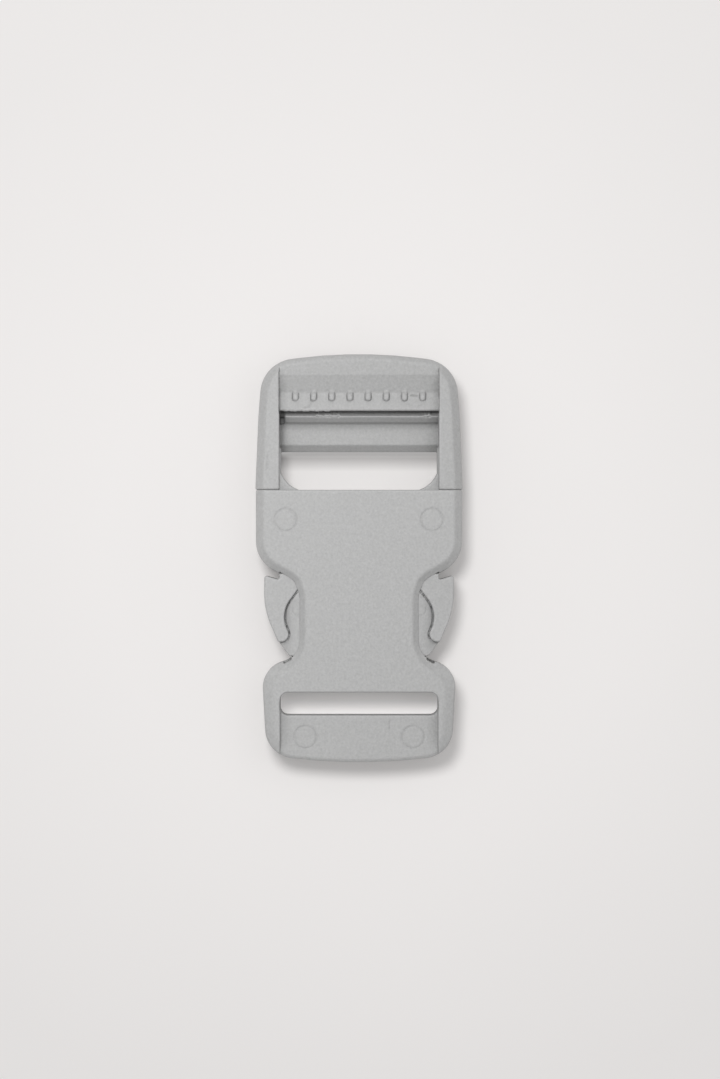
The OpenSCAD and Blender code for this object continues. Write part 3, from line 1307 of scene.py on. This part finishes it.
        notch = np.maximum(x - self.ledge_ends[0] + self.notch_gap, between(y, *self.notch))
        lower = cut(join(lower, ledge, self.ledge_foot), np.maximum(notch, self.notch_z - z), self.bar_r)
        return join(body, lower, self.bar_r)

    def inner_form(self, x: Array, y: Array, z: Array) -> Array:
        """Field of the base with its gussets, the tongue and the two barbed arms.

        Each arm has a stem, a thicker grip where it shows in the window, and a web between
        the grip and its tip, which is arched and has a groove along the grip.

        Args:
            x: Places across.
            y: Places along.
            z: Heights.

        Returns:
            The field.
        """
        ax = np.abs(x)
        base = np.maximum(ax - self.base_x, between(y, self.base_low_y, self.low_y + self.root))
        flange_x = self.rail_gap / 2 + self.root
        flange = np.maximum(ax - flange_x, between(y, self.base_low_y, self.opening_top + self.root))
        spread, tuck, reach = 0.45, 0.3, 12.0
        hole_low, hole_high = self.mouth_y - tuck, self.mouth_y + reach
        hole = rounded_window(x, y, self.opening_w / 2 + spread, hole_low, hole_high, self.gusset_r)
        hole = np.maximum(hole, ax - self.opening_w / 2)
        plan = np.maximum(np.minimum(base, flange), -hole)
        body = meet(plan, between(z, self.head_low, self.head_high), Socket.break_r)
        head = self.head.distance(ax, y)
        stem = meet(head, between(z, self.arm_low, self.top - self.arm_low), self.arm_r)
        grip = np.maximum(head, y - self.grip_y)
        grip = meet(grip, between(z, self.head_low, self.head_high), self.arm_r)
        out = np.maximum(ax - self.web_x, 0.0)
        fall = np.minimum(self.head_low + self.web_fall * out + self.web_curve * out**2, self.web_low)
        web = meet(self.web.distance(ax, y), between(z, fall, self.top - fall), self.arm_r)
        channel = between(head, -self.arm_r, self.groove_w)
        side = np.where(x < 0.0, 1.0, self.groove_right)
        depth = self.groove_d * ease((y - self.groove_end) / self.groove_ease) * side
        web = cut(web, np.maximum(channel, self.top - fall - depth - z), self.groove_r)
        web = cut(web, arm_slit(x, y, z, Socket.slit_w, Socket.slit_low), FINE_BREAK)
        arm = join(np.minimum(stem, grip), web, FINE_BREAK)
        tongue_root = self.base_low_y + self.root
        tongue = rounded_window(x, y, self.tongue_x, self.tongue_end, tongue_root, self.tongue_r)
        tongue = np.where(y > 0.0, np.maximum(ax - self.tongue_x, y - tongue_root), tongue)
        tongue = meet(tongue, between(z, self.arm_low, self.top - self.arm_low), self.arm_r)
        return join(join(body, arm, self.arm_r), tongue, self.arm_r)

    def form(self, x: Array, y: Array, z: Array) -> Array:
        """The moulding's field: the frame run together with what goes into the socket."""
        body = join(self.frame_form(x, y, z), self.inner_form(x, y, z), self.bar_r)
        return body + LINE_D * scored(self.lines, x, y, LINE_W) * (z > self.top / 2)

    def grid(self) -> Grid:
        """Lines that are close over the frame and arms and wider over what the socket hides."""
        w = self.half_w + 0.41
        x = ruler((-w, 0.2), (-8.5, 0.23), (8.5, 0.2), (w, 0.2))
        y = ruler((-16.73, 0.2), (-2.1, 0.5), (8.1, 0.25), (self.half_l + 0.31, 0.25))
        z = ruler((-0.21, 0.21), (self.rail_h + 0.23, 0.21))
        return Grid(x, y, z)

    def build(self, finish: bpy.types.Material) -> bpy.types.Object:
        """Skins the moulding and lets it stand for its node.

        Args:
            finish: Its material.

        Returns:
            The piece.
        """
        skin = skin_of(self.form, self.grid())
        skin.marks = edge_marks(self.form, skin, self.lines)
        piece = write_piece("plug_moulding", skin, finish)
        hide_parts("plug")
        return piece


@dataclass(frozen=True)
class Softbox:
    """A round softbox that faces the origin.

    Attributes:
        name: Its name.
        place: Where it hangs, in millimetres.
        size: Its diameter, in millimetres.
        power: Its power in watts.
    """

    name: str
    place: Point
    size: float
    power: float

    def hang(self) -> None:
        """Adds it to the scene and turns it towards the origin."""
        data = bpy.data.lights.new(self.name, "AREA")
        data.shape, data.size, data.energy = "DISK", self.size * MM, self.power
        made = bpy.data.objects.new(self.name, data)
        made.location = [v * MM for v in self.place]
        x, y, z = (-v for v in self.place)
        made.rotation_euler = (math.atan2(math.hypot(x, y), -z), 0.0, math.atan2(y, x) - math.pi / 2)
        bpy.context.scene.collection.objects.link(made)


@dataclass
class Studio:
    """The floor, the soft lights and the camera that looks straight down.

    Attributes:
        view_w: Width that the photograph's frame covers at the buckle's front.
        centre: Place under the middle of that frame.
        distance: Height of the camera above the buckle's front.
        front_z: Height of the buckle's front.
        image_px: Width and height of the photograph.
        boxes: A key softbox towards the adjuster end, and a wide fill at the right.
        even: Strength of the even light all round.
        floor_w: Width of the floor.
        floor_under: How far the floor lies under the buckle, which keeps their faces apart.
    """

    view_w: float = 118.5
    centre: tuple[float, float] = (0.16, 3.07)
    distance: float = 900.0
    front_z: float = 9.4
    image_px: tuple[int, int] = (720, 1079)
    boxes: tuple[Softbox, ...] = (
        Softbox("key", (-75.0, 150.0, 540.0), 159.0, 1.58),
        Softbox("fill", (230.0, 90.0, 460.0), 420.0, 0.18),
    )
    even: float = 0.42
    floor_w: float = 6000.0
    floor_under: float = 0.02

    def camera(self) -> None:
        """Places the camera so that the frame's long side spans the right height."""
        data = bpy.data.cameras.new("camera")
        data.sensor_width = 36.0
        view_h = self.view_w * self.image_px[1] / self.image_px[0]
        data.lens = data.sensor_width * self.distance / view_h
        data.clip_start, data.clip_end = 0.01, 10.0
        made = bpy.data.objects.new("camera", data)
        made.location = (self.centre[0] * MM, self.centre[1] * MM, (self.front_z + self.distance) * MM)
        bpy.context.scene.collection.objects.link(made)
        bpy.context.scene.camera = made

    def light(self) -> None:
        """Hangs the softboxes, in even light."""
        for box in self.boxes:
            box.hang()
        world = bpy.data.worlds.new("even_light")
        world.use_nodes = True
        n = Nodes(world.node_tree)
        sky = n.add("ShaderNodeBackground", Color=(1.0, 1.0, 1.0, 1.0), Strength=self.even)
        n.add("ShaderNodeOutputWorld", Surface=sky.outputs[0])
        bpy.context.scene.world = world
        bpy.context.scene.view_settings.view_transform = "Standard"

    def floor(self) -> None:
        """Lays a wide flat floor just under the buckle."""
        side, under = self.floor_w / 2 * MM, -self.floor_under * MM
        mesh = bpy.data.meshes.new("floor")
        corners = [(-side, -side, under), (side, -side, under), (side, side, under), (-side, side, under)]
        mesh.from_pydata(corners, [], [(0, 1, 2, 3)])
        mesh.materials.append(PaleFloor().build("pale_floor"))
        made = bpy.data.objects.new("floor", mesh)
        bpy.context.scene.collection.objects.link(made)

    def build(self) -> None:
        """Sets up the whole studio."""
        self.camera()
        self.light()
        self.floor()


def main() -> None:
    """Builds the studio and the two mouldings."""
    logging.basicConfig(level=logging.INFO, format="%(name)s: %(message)s", stream=sys.stdout)
    Studio().build()
    Socket().build(MouldedPlastic().build("socket_plastic"))
    # The plug's copy is a little darker, and its painted light falloff runs more strongly across it and
    # not along it.
    Plug().build(MouldedPlastic(tone=0.458, painted_falloff=(0.0032, 0.0)).build("plug_plastic"))


if __name__ == "__main__":
    main()
